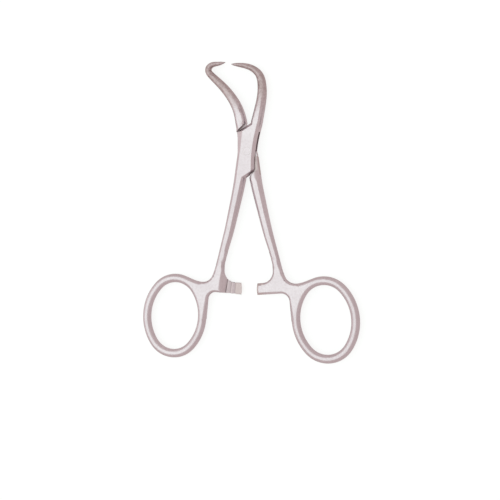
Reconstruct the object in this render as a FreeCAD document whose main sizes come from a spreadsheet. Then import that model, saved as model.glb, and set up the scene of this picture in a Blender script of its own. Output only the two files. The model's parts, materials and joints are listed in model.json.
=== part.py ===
import FreeCAD, Part
import math
import os

# Towel forceps, 13 cm pattern, in millimetres.
# The forceps lie flat. X runs across them, Y from the finger rings to the jaws,
# Z through their thickness. The pivot axis is X = Y = 0 and the back face of the
# box lock is Z = 0. The box half holds the left ring, the tongue half the right one.

os.makedirs("parts", exist_ok=True)
Vector = FreeCAD.Vector
doc = FreeCAD.newDocument("towelForceps")

# Driving sizes
sizes = {
    "lockThickness": 5.6,
    "slotWidth": 2.0,
    "slotClearance": 0.05,
    "slotRadius": 9.6,
    "shoulderClearance": 0.12,
    "lockBevel": 1.2,
    "cheekLeft": 4.45,
    "cheekRight": 3.6,
    "cheekCornerRadius": 2.4,
    "cheekHollowRadius": 0.35,
    "shoulderLeft": 3.7,
    "shoulderRight": 4.55,
    "pinRadius": 1.3,
    "pinFlare": 0.3,
    "boreClearance": 0.04,
    "closingAngle": 10.5,
    "closingSlack": 0.4,
    "boxShankRootX": 3.85,
    "tongueShankRootX": 3.35,
    "shankRootReach": 3.1,
    "shankRootWidth": 4.5,
    "shankFootX": 12.1,
    "shankFootY": 46.6,
    "shankFootWidth": 3.3,
    "shankFootThickness": 3.3,
    "shankFootBevel": 0.8,
    "shankBow": 0.4,
    "shankRootHeading": 8.0,
    "armDrop": 12.5,
    "armWidth": 5.0,
    "ringReach": 21.7,
    "ringDrop": 12.4,
    "ringHoleLength": 29.4,
    "ringHoleWidth": 21.9,
    "ringStockWidth": 3.7,
    "ringStockThickness": 3.4,
    "ringLean": 5.5,
    "handleBevel": 1.05,
    "armGap": 0.14,
    "toothPitch": 2.0,
    "toothDepth": 0.6,
    "rampRun": 3.35,
    "boxArmEnd": 3.4,
    "boxToothInset": 2.35,
    "tongueArmEnd": 4.2,
    "tongueToothInset": 0.4,
    "boxJawRootX": 3.95,
    "boxJawRootWidth": 4.3,
    "boxJawHeading": 12.5,
    "tongueJawRootX": 3.35,
    "tongueJawRootWidth": 4.4,
    "tongueJawHeading": 10.0,
    "jawRootReach": 3.7,
    "jawLength": 25.0,
    "jawNarrowing": 0.46,
    "jawThinning": 0.5,
    "jawRounding": 0.07,
    "pointSize": 0.22,
}

sheet = doc.addObject("Spreadsheet::Sheet", "sizes")
for row, (alias, value) in enumerate(sizes.items(), start=1):
    sheet.set(f"A{row}", alias)
    sheet.set(f"B{row}", str(value))
    sheet.setAlias(f"B{row}", alias)
doc.recompute()


def size(alias):
    return float(getattr(sheet, alias))


midPlane = size("lockThickness") / 2
armRadius = size("shankFootY") + size("armDrop")
ringCentreX = size("shankFootX") + size("ringReach")
ringCentreY = armRadius + size("ringDrop")
slotRadius = size("slotRadius")
tongueRadius = slotRadius - size("shoulderClearance")
shankRootY = slotRadius + size("shankRootReach")
jawRootY = slotRadius + size("jawRootReach")
jawSteps = 20
toothCount = 2
ovalEndShare = 0.845
boxSide = -1
tongueSide = 1


def rotated(point, degrees):
    turn = math.radians(degrees)
    return (point[0] * math.cos(turn) - point[1] * math.sin(turn),
            point[0] * math.sin(turn) + point[1] * math.cos(turn))


def polar(radius, degrees):
    return rotated((radius, 0), degrees)


def directionOf(point):
    return math.degrees(math.atan2(point[1], point[0]))


def originPlane(body, role):
    for feature in body.Origin.OriginFeatures:
        if feature.Role == role:
            return feature
    raise ValueError(role)


def newSketch(body, name, role, offset):
    sketch = body.newObject("Sketcher::SketchObject", name)
    sketch.AttachmentSupport = [(originPlane(body, role), "")]
    sketch.MapMode = "FlatFace"
    sketch.AttachmentOffset = offset
    return sketch


def planSketch(body, name, height):
    return newSketch(body, name, "XY_Plane", FreeCAD.Placement(Vector(0, 0, height), FreeCAD.Rotation()))


def uprightSketch(body, name, x, y, heading):
    # Stands across a bar: sketch x runs across the bar, sketch y is the global Z
    turn = FreeCAD.Rotation(Vector(0, 1, 0), heading)
    return newSketch(body, name, "XZ_Plane", FreeCAD.Placement(Vector(x, 0, -y), turn))


def flat(point):
    return Vector(point[0], point[1], 0)


def drawOutline(sketch, stretches):
    # Each stretch is (end,) for a line or (via, end) for an arc
    start = stretches[-1][-1]
    for stretch in stretches:
        end = stretch[-1]
        if len(stretch) == 1:
            sketch.addGeometry(Part.LineSegment(flat(start), flat(end)), False)
        else:
            sketch.addGeometry(Part.Arc(flat(start), flat(stretch[0]), flat(end)), False)
        start = end


def roundedCorner(before, corner, after, radius):
    # Line up to a rounded corner and the arc round it
    def unit(end):
        length = math.dist(corner, end)
        return ((end[0] - corner[0]) / length, (end[1] - corner[1]) / length)

    back, ahead = unit(before), unit(after)
    half = math.acos(back[0] * ahead[0] + back[1] * ahead[1]) / 2
    tangent = radius / math.tan(half)
    start = (corner[0] + back[0] * tangent, corner[1] + back[1] * tangent)
    end = (corner[0] + ahead[0] * tangent, corner[1] + ahead[1] * tangent)
    middle = (back[0] + ahead[0], back[1] + ahead[1])
    reach = (radius / math.sin(half) - radius) / math.hypot(*middle)
    crest = (corner[0] + middle[0] * reach, corner[1] + middle[1] * reach)
    return [(start,), (crest, end)]


def stretchMiddles(stretches, bevelled):
    # Middle points of the stretches that carry a bevel
    middles = []
    start = stretches[-1][-1]
    for number, stretch in enumerate(stretches):
        end = stretch[-1]
        if number in bevelled:
            if len(stretch) == 1:
                middles.append(flat(((start[0] + end[0]) / 2, (start[1] + end[1]) / 2)))
            else:
                curve = Part.Arc(flat(start), flat(stretch[0]), flat(end)).toShape()
                middles.append(curve.valueAt((curve.FirstParameter + curve.LastParameter) / 2))
        start = end
    return middles


def pad(body, name, sketch, length):
    feature = body.newObject("PartDesign::Pad", name)
    feature.Profile = sketch
    feature.SideType = "Symmetric"
    feature.setExpression("Length", length)
    sketch.Visibility = False
    return feature


def rimEdges(shape, middles):
    # Level rim edges whose middles lie above or below the given points
    chosen = []
    for number, edge in enumerate(shape.Edges, start=1):
        halfway = edge.valueAt((edge.FirstParameter + edge.LastParameter) / 2)
        ends = [vertex.Point.z for vertex in edge.Vertexes]
        if max(ends) - min(ends) > 0.01:
            continue
        if any(math.hypot(halfway.x - m.x, halfway.y - m.y) < 0.01 for m in middles):
            chosen.append(f"Edge{number}")
    return chosen


def bevel(body, name, middles, amount):
    base = body.Tip
    feature = body.newObject("PartDesign::Chamfer", name)
    feature.Base = (base, rimEdges(base.Shape, middles))
    feature.setExpression("Size", amount)


def cut(body, name, sketch, length, symmetric=False, reversed=False):
    feature = body.newObject("PartDesign::Pocket", name)
    feature.Profile = sketch
    feature.SideType = "Symmetric" if symmetric else "One side"
    feature.Reversed = reversed
    feature.setExpression("Length", length)
    sketch.Visibility = False
    return feature


def sectionSketch(body, name, place, heading, width, thickness, corner):
    # Flat-faced bar section with a bevel on each corner, centred on the mid plane
    sketch = uprightSketch(body, name, place[0], place[1], heading)
    right = width / 2
    top = midPlane + thickness / 2
    bottom = midPlane - thickness / 2
    corners = [
        (right - corner, bottom),
        (right, bottom + corner),
        (right, top - corner),
        (right - corner, top),
        (corner - right, top),
        (-right, top - corner),
        (-right, bottom + corner),
        (corner - right, bottom),
    ]
    drawOutline(sketch, [(point,) for point in corners])
    sketch.Visibility = False
    return sketch


def barLoft(body, name, stations, firstHeading):
    # Stations are (x, y, width, thickness, corner); each section stands square to the bar
    sections = []
    for number, (x, y, width, thickness, corner) in enumerate(stations):
        before = stations[max(number - 1, 0)]
        after = stations[min(number + 1, len(stations) - 1)]
        heading = math.degrees(math.atan2(before[0] - after[0], after[1] - before[1]))
        if number == 0:
            heading = firstHeading
        label = f"{name}Section{number}"
        sections.append(sectionSketch(body, label, (x, y), heading, width, thickness, corner))
    loft = body.newObject("PartDesign::AdditiveLoft", name)
    loft.Profile = sections[0]
    loft.Sections = sections[1:]
    return loft


def rootCorners(centre, width, heading):
    across = rotated((width / 2, 0), heading)
    left = (centre[0] - across[0], centre[1] - across[1])
    right = (centre[0] + across[0], centre[1] + across[1])
    return left, right


def along(point, heading, distance):
    step = rotated((0, distance), heading)
    return (point[0] + step[0], point[1] + step[1])


# Shank root stations of both halves at the box lock
shankRoot = {
    boxSide: (-size("boxShankRootX"), -shankRootY),
    tongueSide: (size("tongueShankRootX"), -shankRootY),
}
shankHeading = {boxSide: -size("shankRootHeading"), tongueSide: size("shankRootHeading")}


def tangentPoint(point, centre, radius, turn):
    # Where a line from the point touches a circle, on the side given by turn
    away = (point[0] - centre[0], point[1] - centre[1])
    lift = math.degrees(math.acos(radius / math.hypot(*away)))
    reach = polar(radius, directionOf(away) + turn * lift)
    return (centre[0] + reach[0], centre[1] + reach[1])


def ovalArcs(centre, lean, longRadius, shortRadius):
    # Four tangent arcs of an oval as (centre, radius, middle direction, half sweep):
    # the side at 180 degrees, the bottom end, the side at 360 degrees, the top end
    endRadius = shortRadius * ovalEndShare
    endOffset = longRadius - endRadius
    sideExcess = longRadius ** 2 + shortRadius ** 2 - 2 * longRadius * endRadius
    sideRadius = sideExcess / (shortRadius - endRadius) / 2
    sideOffset = shortRadius - sideRadius
    sideHalf = math.degrees(math.atan2(endOffset, -sideOffset))
    arcs = []
    for direction in (180, 270, 360, 450):
        onSide = direction in (180, 360)
        shift = polar(sideOffset if onSide else endOffset, direction + lean)
        arcs.append((
            (centre[0] + shift[0], centre[1] + shift[1]),
            sideRadius if onSide else endRadius,
            direction + lean,
            sideHalf if onSide else 90 - sideHalf,
        ))
    return arcs


def onArc(arc, outward, turn):
    reach = polar(arc[1] + outward, arc[2] + turn)
    return (arc[0][0] + reach[0], arc[0][1] + reach[1])


def turnOnArc(arc, point):
    direction = directionOf((point[0] - arc[0][0], point[1] - arc[0][1]))
    return (direction - arc[2] + 180) % 360 - 180


def ringPlate(body, side, armEnd):
    # Finger ring, web and ratchet arm in one outline with rounded edges
    stock = size("ringStockWidth")
    longRadius = (size("ringHoleLength") + stock) / 2
    shortRadius = (size("ringHoleWidth") + stock) / 2
    outerLong = longRadius + stock / 2
    outerShort = shortRadius + stock / 2
    neck = size("ringReach") - outerShort
    arcs = ovalArcs((ringCentreX, -ringCentreY), size("ringLean"), longRadius, shortRadius)
    near, bottom, far, top = arcs
    footX, footY = size("shankFootX"), -size("shankFootY")
    armTop = -armRadius + size("armWidth") / 2
    armBottom = -armRadius - size("armWidth") / 2
    footInner = (footX - 1.35, footY - 0.9)
    footOuter = (footX + 1.8, footY - 1.3)
    endTop = (armEnd, armTop)
    endBottom = (armEnd, armBottom)
    # Corners of the web beside the ring stand clear of it by shares of its half width and length
    armpit = (ringCentreX - 1.08 * outerShort, 0.6 * outerLong - ringCentreY)
    shoulder = (ringCentreX - 0.7 * outerShort, 0.84 * outerLong - ringCentreY)
    crook = (footX + 0.75 * neck, armTop - 0.5)
    nearTouch = tangentPoint(armpit, near[0], near[1] + stock / 2, 1)
    topTouch = tangentPoint(shoulder, top[0], top[1] + stock / 2, -1)
    nearVia = (turnOnArc(near, nearTouch) + near[3]) / 2
    topVia = (turnOnArc(top, topTouch) - top[3]) / 2
    plate = [
        *roundedCorner(footInner, (footX - 0.8, armTop + 0.5), endTop, 5.0),
        (endTop,),
        ((armEnd - 0.3, -armRadius), endBottom),
        *roundedCorner(endBottom, armpit, nearTouch, neck / 2),
        (nearTouch,),
        (onArc(near, stock / 2, nearVia), onArc(near, stock / 2, near[3])),
        (onArc(bottom, stock / 2, 0), onArc(bottom, stock / 2, bottom[3])),
        (onArc(far, stock / 2, 0), onArc(far, stock / 2, far[3])),
        (onArc(top, stock / 2, topVia), topTouch),
        *roundedCorner(topTouch, shoulder, crook, 14.0),
        *roundedCorner(shoulder, crook, footOuter, neck * 0.7),
        (footOuter,),
        (footInner,),
    ]
    hole = [(onArc(arc, -stock / 2, 0), onArc(arc, -stock / 2, arc[3])) for arc in arcs]
    plate = [tuple((side * x, y) for x, y in stretch) for stretch in plate]
    hole = [tuple((side * x, y) for x, y in stretch) for stretch in hole]
    sketch = planSketch(body, "plateOutline", midPlane)
    drawOutline(sketch, plate)
    drawOutline(sketch, hole)
    pad(body, "plate", sketch, "sizes.ringStockThickness")
    doc.recompute()
    rims = stretchMiddles(plate, range(len(plate) - 1)) + stretchMiddles(hole, range(len(hole)))
    bevel(body, "plateBevel", rims, "sizes.handleBevel")


def shank(body, side):
    # Straight tapering bar with a slight bow, sinking into the web at its foot
    rootX, rootY = abs(shankRoot[side][0]), shankRootY
    footX, footY = size("shankFootX"), size("shankFootY")
    stations = []
    for step in range(5):
        share = step / 4
        x = rootX + share * (footX - rootX) - size("shankBow") * 4 * share * (1 - share)
        y = rootY + share * (footY - rootY)
        width = size("shankRootWidth") + share * (size("shankFootWidth") - size("shankRootWidth"))
        thickness = size("lockThickness") + share * (size("shankFootThickness") - size("lockThickness"))
        corner = size("lockBevel") + share * (size("shankFootBevel") - size("lockBevel"))
        stations.append((side * x, -y, width, thickness, corner))
    footWidth = size("shankFootWidth")
    plateThickness = size("ringStockThickness")
    stations.append((side * (footX + 1.35), -footY - 5.0, footWidth, plateThickness - 0.1, 0.7))
    stations.append((side * (footX + 3.2), -footY - 9.0, footWidth, plateThickness - 0.7, 0.6))
    barLoft(body, "shank", stations, 180 + shankHeading[side])


def ratchet(body, side, armEnd, inset):
    # The arm is milled to half its thickness with a ramp at the inner end, and the face left
    # is cut into saw teeth. Those of the box half face the front, those of the tongue half the back.
    # Profiles are drawn across the arm, with x along it from the place given by reach.
    face = midPlane + side * size("armGap") / 2
    sky = midPlane - side * size("lockThickness")
    surface = midPlane - side * size("ringStockThickness") / 2
    depth = side * size("toothDepth")
    bottom = -armRadius - size("armWidth") * 0.8

    def millAcross(name, reach, profile, length):
        angle = side * math.degrees(reach / armRadius)
        place = rotated((0, bottom), angle)
        sketch = uprightSketch(body, f"{name}Outline", place[0], place[1], angle)
        drawOutline(sketch, [((side * x, z),) for x, z in profile])
        cut(body, name, sketch, length)

    teethStart = armEnd + inset
    rampFoot = teethStart + toothCount * size("toothPitch")
    rampTop = size("rampRun")
    ramp = [(0, face + depth), (rampTop, surface), (rampTop, sky), (-rampFoot * 1.3, sky), (-rampFoot * 1.3, face)]
    millAcross("armMilling", rampFoot, [*ramp, (0, face)], "sizes.armWidth * 2.5")
    overhang = size("toothDepth")
    grooves = [(armEnd - overhang, inset + overhang)]
    grooves += [(teethStart + n * size("toothPitch"), size("toothPitch")) for n in range(toothCount)]
    for number, (reach, run) in enumerate(grooves):
        tooth = [(0, face - depth), (run, face - depth), (run, face), (0, face + depth)]
        millAcross(f"tooth{number}", reach, tooth, "sizes.armWidth * 1.8")


def rivetProfile(body, name):
    # Half section of the pin with a flare at each end
    pin = size("pinRadius")
    flare = size("pinFlare")
    top = size("lockThickness")
    sketch = uprightSketch(body, name, 0, 0, 0)
    corners = [(pin + flare, 0), (pin, flare), (pin, top - flare), (pin + flare, top), (0, top), (0, 0)]
    drawOutline(sketch, [(point,) for point in corners])
    sketch.Visibility = False
    return sketch


def newBody(name):
    return doc.addObject("PartDesign::Body", name)


# Handles: ring, web, shank and toothed arm
boxHandle = newBody("boxHandle")
ringPlate(boxHandle, boxSide, size("boxArmEnd"))
shank(boxHandle, boxSide)
ratchet(boxHandle, boxSide, size("boxArmEnd"), size("boxToothInset"))

tongueHandle = newBody("tongueHandle")
ringPlate(tongueHandle, tongueSide, size("tongueArmEnd"))
shank(tongueHandle, tongueSide)
ratchet(tongueHandle, tongueSide, size("tongueArmEnd"), size("tongueToothInset"))

# Box of the lock: two cheeks with the slot between them
boxLock = newBody("boxLock")
boxJawRoot = (size("boxJawRootX"), jawRootY)
boxJawHeading = -size("boxJawHeading")
rootLeft, rootRight = rootCorners(shankRoot[boxSide], size("shankRootWidth"), shankHeading[boxSide])
jawLeft, jawRight = rootCorners(boxJawRoot, size("boxJawRootWidth"), boxJawHeading)
shankCorner = along(rootRight, shankHeading[boxSide], 1.75)
lowerCorner = polar(slotRadius - 0.5, -71.1)
upperCorner = polar(slotRadius, 117.6)
jawCorner = along(jawLeft, boxJawHeading, -1.75)
rightWaist = (size("cheekRight"), 1.5)
leftWaist = (-size("cheekLeft"), 1.5)
leftHollow = (-size("cheekLeft") - 0.05, -1.2)
cheek = [
    *roundedCorner(rootRight, shankCorner, lowerCorner, size("cheekHollowRadius")),
    *roundedCorner(shankCorner, lowerCorner, rightWaist, size("cheekCornerRadius")),
    (rightWaist, along(jawRight, boxJawHeading, -3.0)),
    (jawRight,),
    (jawLeft,),
    (jawCorner,),
    (upperCorner,),
    (leftWaist,),
    (leftHollow, along(rootLeft, shankHeading[boxSide], 9.0)),
    (rootLeft,),
    (rootRight,),
]
cheekSketch = planSketch(boxLock, "cheekOutline", midPlane)
drawOutline(cheekSketch, cheek)
pad(boxLock, "cheeks", cheekSketch, "sizes.lockThickness")
doc.recompute()
bevel(boxLock, "cheekBevel", stretchMiddles(cheek, (0, 1, 2, 3, 4, 5, 7, 8, 9, 10, 11)), "sizes.lockBevel")

upperWall = directionOf(jawCorner) + 0.2
lowerWall = directionOf(shankCorner) + 0.2
wide = slotRadius * 1.25
far = slotRadius * 1.65
slot = [
    (polar(slotRadius, upperWall),),
    (polar(slotRadius, 60), polar(slotRadius, 35)),
    ((wide, slotRadius * 0.6),),
    ((wide, -far),),
    (polar(far, lowerWall),),
    (polar(slotRadius, lowerWall),),
    (polar(slotRadius, -120), polar(slotRadius, -150)),
    ((-wide, -slotRadius * 0.6),),
    ((-wide, far),),
    (polar(far, upperWall),),
]
slotSketch = planSketch(boxLock, "slotOutline", midPlane)
drawOutline(slotSketch, slot)
cut(boxLock, "slot", slotSketch, "sizes.slotWidth", symmetric=True)
hole = boxLock.newObject("PartDesign::Groove", "rivetHole")
hole.Profile = rivetProfile(boxLock, "rivetHoleProfile")
hole.ReferenceAxis = (hole.Profile[0], ["V_Axis"])
hole.Angle = 360

# Tongue of the lock: thick shoulders at both ends of a thin tongue
tongueLock = newBody("tongueLock")
tongueJawRoot = (-size("tongueJawRootX"), jawRootY)
tongueJawHeading = size("tongueJawHeading")
rootLeft, rootRight = rootCorners(shankRoot[tongueSide], size("shankRootWidth"), shankHeading[tongueSide])
jawLeft, jawRight = rootCorners(tongueJawRoot, size("tongueJawRootWidth"), tongueJawHeading)
tongue = [
    (along(rootRight, shankHeading[tongueSide], 11.5),),
    ((size("shoulderRight"), 2.5), polar(tongueRadius, 54.5)),
    (polar(tongueRadius, 75), polar(tongueRadius, 95.2)),
    (along(jawRight, tongueJawHeading, -1.8),),
    (jawRight,),
    (jawLeft,),
    (along(jawLeft, tongueJawHeading, -3.0),),
    (along(along(jawLeft, tongueJawHeading, -3.0), 0, -1.7),),
    ((-size("shoulderLeft"), 0.5),),
    (polar(tongueRadius, -108),),
    (polar(tongueRadius, -98), polar(tongueRadius, -84)),
    (along(rootLeft, shankHeading[tongueSide], 1.8),),
    (rootLeft,),
    (rootRight,),
]
tongueSketch = planSketch(tongueLock, "tongueOutline", midPlane)
drawOutline(tongueSketch, tongue)
pad(tongueLock, "tongue", tongueSketch, "sizes.lockThickness")
doc.recompute()
bevel(tongueLock, "tongueBevel", stretchMiddles(tongue, (0, 1, 3, 4, 6, 7, 11, 12)), "sizes.lockBevel")

# Recesses clear of the cheeks with the forceps closed
closed = size("closingAngle") + size("closingSlack")
upperLeft, upperRight = rotated(upperCorner, closed), rotated(jawCorner, closed)
lowerRight, lowerLeft = rotated(lowerCorner, closed), rotated(shankCorner, closed)


def beyond(start, end, distance):
    length = math.dist(start, end)
    share = distance / length
    return (end[0] + share * (end[0] - start[0]), end[1] + share * (end[1] - start[1]))


recess = [
    (beyond(upperLeft, upperRight, 6),),
    ((wide, far),),
    ((wide, -1.5),),
    (rotated((3.4, -3.0), closed),),
    (lowerRight,),
    (beyond(lowerRight, lowerLeft, 4),),
    ((-wide, -far),),
    (beyond(upperRight, upperLeft, 4),),
]
tongueHalfThickness = size("slotWidth") / 2 - size("slotClearance")
for name, height, up in (("front", midPlane + tongueHalfThickness, True),
                         ("back", midPlane - tongueHalfThickness, False)):
    recessSketch = planSketch(tongueLock, f"{name}RecessOutline", height)
    drawOutline(recessSketch, recess)
    cut(tongueLock, f"{name}Recess", recessSketch, "sizes.lockThickness", reversed=up)
bore = planSketch(tongueLock, "boreOutline", midPlane)
boreRadius = size("pinRadius") + size("boreClearance")
bore.addGeometry(Part.Circle(Vector(0, 0, 0), Vector(0, 0, 1), boreRadius), False)
cut(tongueLock, "bore", bore, "sizes.lockThickness * 2", symmetric=True)

# Jaws: curved bars that taper to points


def jaw(body, root, heading, rootWidth, course):
    # Sections at even steps along a smooth course, each thinner than the last.
    # The course is given from the root in shares of the jaw length.
    length = size("jawLength")
    points = [flat(root)] + [flat((root[0] + x * length, root[1] + y * length)) for x, y in course]
    curve = Part.BSplineCurve()
    startDirection = rotated((0, 1), heading)
    endDirection = points[-1] - points[-2]
    curve.interpolate(Points=points, InitialTangent=flat(startDirection), FinalTangent=endDirection)
    spine = curve.toShape()
    stations = []
    for step in range(jawSteps + 1):
        share = step / jawSteps
        spot = spine.valueAt(spine.getParameterByLength(share * spine.Length))
        pointing = (1 - share ** 6) ** 0.6
        tip = size("pointSize") * share ** 12
        width = rootWidth * (1 - size("jawNarrowing") * share) * pointing + tip
        thickness = size("lockThickness") * (1 - size("jawThinning") * share) * pointing + tip
        roundness = size("lockBevel") / rootWidth + size("jawRounding") * min(share * 4, 1)
        corner = roundness * min(width, thickness)
        stations.append((spot.x, spot.y, width, thickness, corner))
    barLoft(body, "jaw", stations, heading)


boxJaw = newBody("boxJaw")
jaw(boxJaw, boxJawRoot, boxJawHeading, size("boxJawRootWidth"), [
    (0.042, 0.192),
    (0.080, 0.404),
    (0.082, 0.612),
    (0.034, 0.784),
    (-0.082, 0.892),
    (-0.256, 0.952),
    (-0.466, 0.982),
])
tongueJaw = newBody("tongueJaw")
jaw(tongueJaw, tongueJawRoot, tongueJawHeading, size("tongueJawRootWidth"), [
    (-0.058, 0.204),
    (-0.180, 0.420),
    (-0.364, 0.636),
    (-0.528, 0.792),
    (-0.592, 0.896),
    (-0.548, 0.972),
    (-0.428, 0.998),
    (-0.282, 1.018),
])

# Rivet pin
pivotPin = newBody("pivot_pin")
pinForm = pivotPin.newObject("PartDesign::Revolution", "pinForm")
pinForm.Profile = rivetProfile(pivotPin, "pinProfile")
pinForm.ReferenceAxis = (pinForm.Profile[0], ["V_Axis"])
pinForm.Angle = 360

# Each half is one forging
boxHalf = doc.addObject("Part::MultiFuse", "box_half")
boxHalf.Shapes = [boxLock, boxHandle, boxJaw]
tongueHalf = doc.addObject("Part::MultiFuse", "tongue_half")
tongueHalf.Shapes = [tongueLock, tongueHandle, tongueJaw]
doc.recompute()

for item in doc.Objects:
    if "Invalid" in item.State or "Error" in item.State:
        raise RuntimeError(f"{item.Name} did not compute: {item.State}")
for node in (boxHalf, tongueHalf, pivotPin):
    node.Label = node.Name
    if node.Shape.isNull() or not node.Shape.isValid() or len(node.Shape.Solids) != 1:
        raise RuntimeError(f"{node.Name} is not one sound solid")
    print(node.Name, round(node.Shape.Volume, 1), node.Shape.BoundBox)
    node.Shape.exportStep(f"parts/{node.Label}.step")
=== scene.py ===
import json
import math

import bpy
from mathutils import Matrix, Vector


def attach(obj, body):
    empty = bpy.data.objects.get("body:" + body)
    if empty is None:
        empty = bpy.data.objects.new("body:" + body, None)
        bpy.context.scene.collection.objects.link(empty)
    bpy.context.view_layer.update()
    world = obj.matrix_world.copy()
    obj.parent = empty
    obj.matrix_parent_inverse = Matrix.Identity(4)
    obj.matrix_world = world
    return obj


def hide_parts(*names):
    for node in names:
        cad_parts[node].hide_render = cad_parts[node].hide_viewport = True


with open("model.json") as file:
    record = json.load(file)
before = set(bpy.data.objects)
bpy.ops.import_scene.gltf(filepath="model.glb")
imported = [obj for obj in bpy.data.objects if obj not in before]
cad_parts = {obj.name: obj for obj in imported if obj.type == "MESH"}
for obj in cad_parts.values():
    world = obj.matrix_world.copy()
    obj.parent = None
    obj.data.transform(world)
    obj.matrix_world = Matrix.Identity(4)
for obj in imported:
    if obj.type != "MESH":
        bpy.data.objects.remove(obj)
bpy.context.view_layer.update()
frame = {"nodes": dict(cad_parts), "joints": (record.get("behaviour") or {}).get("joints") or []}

scene = bpy.context.scene
nodes = frame["nodes"]
midHeight = frame["joints"][0]["pos_m"][2]  # the plane that halves the box lock
print("frame loaded:", ", ".join(sorted(nodes)))


def setSockets(node, **values):
    # An underscore stands for a space in the socket's name
    for name, value in values.items():
        node.inputs[name.replace("_", " ")].default_value = value


def add(tree, kind, **settings):
    node = tree.nodes.new(kind)
    for key, value in settings.items():
        setattr(node, key, value)
    return node


def noise(tree, source, **sockets):
    node = add(tree, "ShaderNodeTexNoise")
    setSockets(node, **sockets)
    tree.links.new(source, node.inputs["Vector"])
    return node.outputs["Fac"]


def mapped(tree, source, start, end, low=0.0, high=1.0):
    ranged = add(tree, "ShaderNodeMapRange")
    setSockets(ranged, From_Min=start, From_Max=end, To_Min=low, To_Max=high)
    tree.links.new(source, ranged.inputs["Value"])
    return ranged.outputs["Result"]


def combined(tree, operation, *terms):
    # A Math node of sockets and plain numbers, in the order of its inputs
    maths = add(tree, "ShaderNodeMath", operation=operation)
    for socket, term in zip(maths.inputs, terms):
        if isinstance(term, float):
            socket.default_value = term
        else:
            tree.links.new(term, socket)
    return maths.outputs["Value"]


mixSockets = {"amount": 0, "under": 6, "over": 7, "result": 2}  # a Mix node's colour sockets


def tinted(tree, amount, under, colour):
    mix = add(tree, "ShaderNodeMix", data_type="RGBA")
    mix.inputs[mixSockets["over"]].default_value = colour
    tree.links.new(amount, mix.inputs[mixSockets["amount"]])
    tree.links.new(under, mix.inputs[mixSockets["under"]])
    return mix.outputs[mixSockets["result"]]


# Satin stainless steel: matt blasted grain, faint grinding strokes, dull patches, worn edges,
# and painted shade in the corners
satinLook = {
    "brightColour": (0.80, 0.76, 0.79, 1.0),
    "dullColour": (0.73, 0.68, 0.71, 1.0),
    "patchScale": 95.0,
    "patchDetail": 4.0,
    "patchFrom": 0.3,
    "patchTo": 0.7,
    "jawColour": (0.64, 0.565, 0.565, 1.0),
    "jawRoughness": 0.16,
    "jawFrom": 0.0165,
    "jawTo": 0.0270,
    "tipFrom": 0.0368,
    "tipTo": 0.0395,
    "tipShare": 0.45,
    "mottleColour": (0.46, 0.385, 0.38, 1.0),
    "mottleScale": 1100.0,
    "mottleDetail": 3.0,
    "mottleFrom": 0.42,
    "mottleTo": 0.62,
    "mottleShare": 0.6,
    "mottleElsewhere": 0.12,
    "wornColour": (0.84, 0.80, 0.82, 1.0),
    "wornReach": 0.0003,
    "wornFrom": 0.60,
    "wornTo": 0.35,
    # Painted shade: darkens corners, creases, tooth roots and the seams between the halves
    "paintedCornerShade": (0.34, 0.28, 0.28, 1.0),
    "cornerReach": 0.0014,
    "cornerFrom": 0.92,
    "cornerTo": 0.20,
    "shadeSamples": 8,
    "strokeStretch": (1.0, 0.12, 1.0),
    "strokeScale": 2600.0,
    "strokeDetail": 3.0,
    "grainScale": 5200.0,
    "grainDetail": 2.0,
    "grainRoughness": 0.7,
    "reliefLow": 0.6,
    "reliefHigh": 1.4,
    "roughLow": 0.30,
    "roughHigh": 0.44,
    "bumpStrength": 0.16,
    "bumpDepth": 0.00004,
    "zones": [],
}


def edgeWearAndPaintedShadeMask(tree, kind, inside, look):
    # 1 in corners within reach, which take painted shade; when looking inside the metal, 1 on
    # edges instead, which take the paler wear
    near = add(
        tree,
        "ShaderNodeAmbientOcclusion",
        samples=look["shadeSamples"],
        inside=inside,
        only_local=inside,
    )
    setSockets(near, Distance=look[kind + "Reach"])
    return mapped(tree, near.outputs["AO"], look[kind + "To"], look[kind + "From"], 1.0, 0.0)


def jawShare(tree, along, look):
    # 0 below the jaws, 1 on them, less again at the ground points
    jaws = mapped(tree, along, look["jawFrom"], look["jawTo"])
    tips = mapped(tree, along, look["tipFrom"], look["tipTo"], 1.0, look["tipShare"])
    return combined(tree, "MULTIPLY", jaws, tips)


def steelColour(tree, place, jaws, look):
    # Lilac steel in dull and bright patches, then brown jaws, stains, worn edges, and painted
    # shade darkening the corners
    tone = add(tree, "ShaderNodeValToRGB")
    dull, bright = tone.color_ramp.elements
    dull.position, dull.color = look["patchFrom"], look["dullColour"]
    bright.position, bright.color = look["patchTo"], look["brightColour"]
    patches = noise(tree, place, Scale=look["patchScale"], Detail=look["patchDetail"])
    tree.links.new(patches, tone.inputs["Fac"])
    mottle = noise(tree, place, Scale=look["mottleScale"], Detail=look["mottleDetail"])
    speckle = mapped(tree, mottle, look["mottleFrom"], look["mottleTo"])
    spread = mapped(tree, jaws, 0.0, 1.0, look["mottleElsewhere"], look["mottleShare"])
    tints = {
        "jawColour": jaws,
        "mottleColour": combined(tree, "MULTIPLY", speckle, spread),
        "wornColour": edgeWearAndPaintedShadeMask(tree, "worn", True, look),
        # painted shade in the corners and seams
        "paintedCornerShade": edgeWearAndPaintedShadeMask(tree, "corner", False, look),
    }
    colour = tone.outputs["Color"]
    for tint, amount in tints.items():
        colour = tinted(tree, amount, colour, look[tint])
    return colour


def steelRelief(tree, place, look):
    # Blasted grain under grinding strokes that run lengthwise
    stretched = add(tree, "ShaderNodeMapping")
    setSockets(stretched, Scale=look["strokeStretch"])
    tree.links.new(place, stretched.inputs["Vector"])
    lengthwise = stretched.outputs["Vector"]
    strokes = noise(tree, lengthwise, Scale=look["strokeScale"], Detail=look["strokeDetail"])
    grain = noise(
        tree,
        place,
        Scale=look["grainScale"],
        Detail=look["grainDetail"],
        Roughness=look["grainRoughness"],
    )
    return combined(tree, "ADD", grain, strokes)


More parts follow.
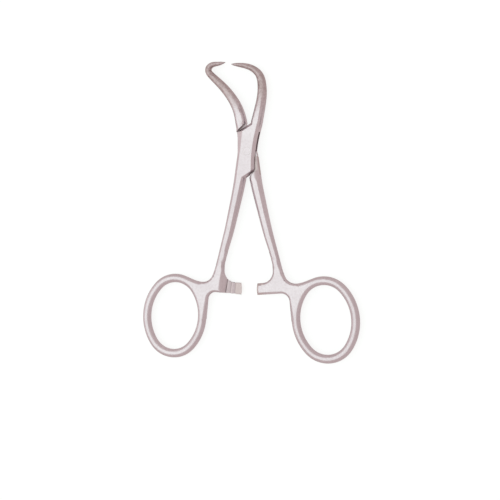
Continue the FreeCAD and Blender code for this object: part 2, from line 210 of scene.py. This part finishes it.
def insideZone(tree, place, zone):
    # 1 within the zone's box, which is given in the part's own frame
    across, along, up = (
        combined(tree, "COMPARE", place[axis], centre, reach)
        for axis, centre, reach in zip("XYZ", zone["centre"], zone["reach"])
    )
    return combined(tree, "MULTIPLY", combined(tree, "MULTIPLY", across, along), up)


def satinSteel(name, look):
    material = bpy.data.materials.new(name)
    material.use_nodes = True
    tree = material.node_tree
    shader = tree.nodes["Principled BSDF"]
    setSockets(shader, Metallic=1.0)
    place = add(tree, "ShaderNodeTexCoord").outputs["Object"]
    split = add(tree, "ShaderNodeSeparateXYZ")
    tree.links.new(place, split.inputs["Vector"])
    jaws = jawShare(tree, split.outputs["Y"], look)
    colour = steelColour(tree, place, jaws, look)

    # The relief drives both the roughness and the bump
    relief = steelRelief(tree, place, look)
    reliefRange = look["reliefLow"], look["reliefHigh"]
    roughness = mapped(tree, relief, *reliefRange, look["roughLow"], look["roughHigh"])
    roughness = combined(tree, "MULTIPLY_ADD", jaws, look["jawRoughness"], roughness)
    bump = add(tree, "ShaderNodeBump")
    setSockets(bump, Strength=look["bumpStrength"], Distance=look["bumpDepth"])
    tree.links.new(relief, bump.inputs["Height"])

    for zone in look["zones"]:
        share = insideZone(tree, split.outputs, zone)
        colour = tinted(tree, share, colour, zone["colour"])
        roughness = combined(tree, "MULTIPLY_ADD", share, zone["rougher"], roughness)
    tree.links.new(colour, shader.inputs["Base Color"])
    tree.links.new(roughness, shader.inputs["Roughness"])
    tree.links.new(bump.outputs["Normal"], shader.inputs["Normal"])
    return material


# Places tinted on their own: darker, rougher ratchet teeth, a painted highlight on the ramp, and
# painted shade on the tongue's rim in the slot and at its shoulder
boxTeeth = {
    "centre": (-0.0045, -0.0590, midHeight),
    "reach": (0.0016, 0.0040, 0.0015),
    "colour": (0.74, 0.675, 0.67, 1.0),
    "rougher": 0.05,
}
tongueTeeth = {**boxTeeth, "centre": (0.0053, -0.0590, midHeight)}
# Painted highlight: lightens the ratchet's ramp, which its steep slope leaves as dark as the
# bevels
rampPaintedHighlight = {
    "centre": (-0.0079, -0.0590, 0.0035),
    "reach": (0.0016, 0.0028, 0.0009),
    "colour": (0.88, 0.84, 0.85, 1.0),
    "rougher": 0.2,
}
# Painted shade: near black on the tongue's rim and the slot walls inside the lock, where the
# cheeks shade them
slotRimPaintedShade = {
    "centre": (0.0050, 0.0043, midHeight),
    "reach": (0.0020, 0.0043, 0.0011),
    "colour": (0.16, 0.11, 0.12, 1.0),
    "rougher": 0.1,
}
# Painted shade on the tongue's shoulder beside the cheek's lower corner
shoulder = {
    "centre": (0.0044, -0.0060, midHeight),
    "reach": (0.0012, 0.0040, 0.0012),
    "colour": (0.62, 0.55, 0.54, 1.0),
    "rougher": 0.1,
}
satin = satinSteel("satinSteel", satinLook)
boxSatin = satinSteel("boxSatin", {**satinLook, "zones": [boxTeeth, rampPaintedHighlight]})
tongueZones = [tongueTeeth, slotRimPaintedShade, shoulder]
tongueSatin = satinSteel("tongueSatin", {**satinLook, "zones": tongueZones})
print("steel finishes mixed")


def joinedCopy(node, look):
    # A copy of the CAD solid, its loose triangles joined into faces and its sharp edges selected
    piece = bpy.data.objects.new(look["name"], nodes[node].data.copy())
    scene.collection.objects.link(piece)
    bpy.ops.object.select_all(action="DESELECT")
    piece.select_set(True)
    bpy.context.view_layer.objects.active = piece
    bpy.ops.object.mode_set(mode="EDIT")
    bpy.ops.mesh.select_all(action="SELECT")
    bpy.ops.mesh.remove_doubles(threshold=look["merge"])
    bpy.ops.mesh.tris_convert_to_quads(
        face_threshold=math.radians(look["quadAngle"]),
        shape_threshold=look["quadShape"],
    )
    bpy.ops.mesh.dissolve_limited(angle_limit=math.radians(look["flatAngle"]))
    bpy.ops.mesh.select_mode(type="EDGE")
    bpy.ops.mesh.select_all(action="DESELECT")
    bpy.ops.mesh.edges_select_sharp(sharpness=math.radians(look["edgeAngle"]))
    bpy.ops.object.mode_set(mode="OBJECT")
    return piece


def drawCorners(mesh, look):
    # Draws corners of the outline sideways with a soft reach, alike above and below the middle
    for vertex in mesh.vertices:
        height = abs(vertex.co.z - midHeight)
        depth = (height - look["drawLow"]) / (look["drawHigh"] - look["drawLow"])
        depth = min(max(depth, 0.0), 1.0)
        shift = Vector()
        for corner, reach, pull in look["draws"]:
            away = math.hypot(vertex.co.x - corner[0], vertex.co.y - corner[1])
            shift += Vector((*pull, 0.0)) * depth * max(0.0, 1.0 - away / reach)
        vertex.co += shift


def edgeRadius(start, end, look):
    # How far the polishing wheel rounds an edge, from the jaws down to the rings
    middle = (start + end) / 2
    along = end - start
    across = abs(middle.x)
    if middle.y > look["lockTop"]:
        return 0.0
    if middle.y > look["lockBottom"]:
        if abs(middle.z - midHeight) > look["cheekInside"]:
            return look["cheekRadius"]
        onRim = middle.x > look["tongueSide"] and middle.y > look["shoulderTop"]
        return look["tongueRadius"] if onRim else 0.0
    if middle.y > look["shankTop"]:
        return 0.0
    if middle.y > look["shankBottom"]:
        return look["shankRadius"]
    if across < look["armInner"] and middle.y > look["armBottom"]:
        return look["armRadius"] if abs(along.x) > abs(along.y) + abs(along.z) else 0.0
    ringOffset = math.hypot(across - look["ringCentre"][0], middle.y - look["ringCentre"][1])
    pastWeb = across > look["webSide"] or middle.y < look["webBottom"]
    return look["ringRadius"] if pastWeb and ringOffset < look["ringReach"] else 0.0


def roundEdges(piece, look):
    # Each selected edge gets its own radius, as a share of the widest
    mesh = piece.data
    weights = mesh.attributes.new("bevel_weight_edge", "FLOAT", "EDGE")
    for edge in mesh.edges:
        if edge.select:
            start, end = (mesh.vertices[corner].co for corner in edge.vertices)
            weights.data[edge.index].value = edgeRadius(start, end, look) / look["widest"]
    soften = piece.modifiers.new("softEdges", "BEVEL")
    soften.width = look["widest"]
    soften.segments = look["edgeSteps"]
    soften.limit_method = "WEIGHT"
    soften.use_clamp_overlap = False
    bpy.ops.object.modifier_apply(modifier=soften.name)
    bpy.ops.object.shade_smooth_by_angle(angle=math.radians(look["smoothAngle"]))
    level = piece.modifiers.new("flatFaces", "WEIGHTED_NORMAL")
    level.keep_sharp = True
    bpy.ops.object.modifier_apply(modifier=level.name)


def groundForging(node, body, look):
    # The forging as it leaves the polishing wheel
    piece = joinedCopy(node, look)
    drawCorners(piece.data, look)
    roundEdges(piece, look)
    piece.data.materials.clear()
    piece.data.materials.append(look["material"])
    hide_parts(node)
    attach(piece, body)
    print(look["name"], len(piece.data.polygons), "faces")


# Sizes in metres, angles in degrees; a radius belongs to the stretch that is named beside it
boxForging = {
    "name": "box_forging",
    "slot": "satin_steel",
    "material": boxSatin,
    "merge": 0.000004,
    "quadAngle": 3.0,
    "quadShape": 1.0,  # radians, unlike the other angles
    "flatAngle": 1.0,
    "edgeAngle": 18.0,
    "smoothAngle": 50.0,
    "edgeSteps": 3,
    "widest": 0.001,
    "lockTop": 0.0105,
    "lockBottom": -0.0105,
    "cheekInside": 0.0013,
    "cheekRadius": 0.00015,
    "tongueSide": 0.0032,
    "shoulderTop": -0.0009,
    "tongueRadius": 0.0,
    "shankTop": -0.0130,
    "shankBottom": -0.0440,
    "shankRadius": 0.00025,
    "armInner": 0.0096,
    "armBottom": -0.0630,
    "armRadius": 0.0003,
    "ringCentre": (0.0338, -0.0715),
    "ringReach": 0.0195,
    "ringRadius": 0.0006,
    "webSide": 0.0215,
    "webBottom": -0.0690,
    "drawLow": 0.0016,
    "drawHigh": 0.0028,
    "draws": [  # corner, reach and pull: the cheek's upper left, its waist, its lower corners
        ((-0.00325, 0.00783), 0.0010, (0.00120, 0.00078)),
        ((-0.00325, 0.00150), 0.0008, (0.00050, 0.0)),
        ((-0.00323, 0.00019), 0.0008, (0.00025, 0.0)),
        ((-0.00187, -0.01017), 0.0011, (0.00029, -0.00047)),
        ((0.00126, -0.00824), 0.0011, (0.00029, -0.00047)),
    ],
}
tongueForging = {
    **boxForging,
    "name": "tongue_forging",
    "material": tongueSatin,
    "tongueRadius": 0.0002,
    "armRadius": 0.0,
    "drawLow": 0.0,
    "drawHigh": 0.0009,
    "draws": [  # the tongue's right rim, drawn in under the cheeks
        ((0.00445, 0.00191), 0.0012, (-0.0013, 0.0)),
        ((0.00496, 0.00482), 0.0012, (-0.0014, 0.0)),
        ((0.00551, 0.00772), 0.0015, (-0.0015, 0.0)),
    ],
}
groundForging("box_half", "box_side", boxForging)
groundForging("tongue_half", "tongue_side", tongueForging)

for slot in nodes["pivot_pin"].material_slots:
    slot.material = satin
print("rivet finished")

# Plain pale floor that the back of the box lock rests on
floorLook = {
    "size": 3.0,
    "height": -0.00005,
    "colour": (0.30, 0.35, 0.34, 1.0),
    "roughness": 0.9,
    "glowColour": (1.0, 1.0, 1.0, 1.0),
    "glow": 0.79,
}
bpy.ops.object.select_all(action="DESELECT")
bpy.ops.mesh.primitive_plane_add(size=floorLook["size"], location=(0, 0, floorLook["height"]))
floor = bpy.context.object
floor.name = "floor"
paper = bpy.data.materials.new("palePaper")
paper.use_nodes = True
paperShader = paper.node_tree.nodes["Principled BSDF"]
setSockets(paperShader, Base_Color=floorLook["colour"], Roughness=floorLook["roughness"])
setSockets(
    paperShader,
    Emission_Color=floorLook["glowColour"],
    Emission_Strength=floorLook["glow"],
)
floor.data.materials.append(paper)
floor.visible_glossy = False
print("floor laid")

# Soft studio light: one broad panel above and to the left, a weak one from the left
studioLook = {"colour": (0.62, 0.52, 0.51, 1.0), "strength": 1.0, "aim": (0.0, -0.026, 0.003)}
lamps = {
    "ceilingPanel": {
        "place": (-0.28, 0.0, 0.75),
        "size": (0.9, 0.9),
        "power": 1.72,
        "colour": (0.80, 1.0, 0.977),
    },
    "leftPanel": {
        "place": (-0.9, 0.0, 0.15),
        "size": (0.8, 0.8),
        "power": 0.4,
        "colour": (1.0, 0.98, 0.97),
    },
}
for name, look in lamps.items():
    panel = bpy.data.lights.new(name, "AREA")
    panel.shape = "RECTANGLE"
    panel.size, panel.size_y = look["size"]
    panel.energy = look["power"]
    panel.color = look["colour"]
    lamp = bpy.data.objects.new(name, panel)
    scene.collection.objects.link(lamp)
    lamp.location = look["place"]
    towards = Vector(studioLook["aim"]) - lamp.location
    lamp.rotation_euler = towards.to_track_quat("-Z", "Y").to_euler()
studio = bpy.data.worlds.new("studio")
studio.use_nodes = True
background = studio.node_tree.nodes["Background"]
setSockets(background, Color=studioLook["colour"], Strength=studioLook["strength"])
scene.world = studio
scene.view_settings.view_transform = "Standard"
print("lights placed")

# Camera leaning to the right of straight above, as in the photograph
cameraLook = {
    "place": (0.12471, -0.02603, 0.43537),
    "lean": 16.0,
    "lens": 75.35,
    "sensor": 36.0,
    "shiftY": -0.076,
    "nearest": 0.01,
}
cameraData = bpy.data.cameras.new("camera")
cameraData.lens = cameraLook["lens"]
cameraData.sensor_width = cameraLook["sensor"]
cameraData.shift_y = cameraLook["shiftY"]
cameraData.clip_start = cameraLook["nearest"]
camera = bpy.data.objects.new("camera", cameraData)
scene.collection.objects.link(camera)
camera.location = cameraLook["place"]
camera.rotation_euler = (0.0, math.radians(cameraLook["lean"]), 0.0)
scene.camera = camera
print("camera placed")
